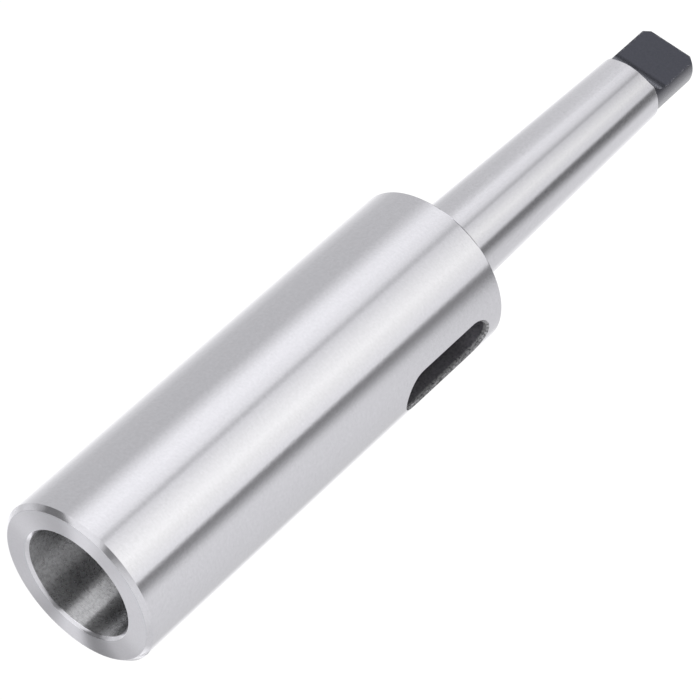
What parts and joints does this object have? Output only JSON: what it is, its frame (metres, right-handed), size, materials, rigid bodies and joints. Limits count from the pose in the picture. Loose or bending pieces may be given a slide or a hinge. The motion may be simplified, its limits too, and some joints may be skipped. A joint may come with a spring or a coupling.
{
  "type": "morse taper sleeve",
  "caption": "Steel adapter sleeve: round body with a tapered socket and drift slot, on a slimmer tapered shank with a flat tang, to fit a larger tool taper in a smaller spindle.",
  "frame": {"origin": "centre of the socket face, which the sleeve stands on", "axes": "+Z along the sleeve's axis towards the tang, X along the drift slot's way through the body and the width of the tang, Y across the tang's flats"},
  "size_m": [0.0466, 0.0466, 0.24],
  "materials": {
    "ground_steel": "ground bright all over, with the tang and the drift slot left dark grey from heat treatment"
  },
  "bodies": {
    "root": {"sleeve": "ground_steel"}
  },
  "joints": []
}
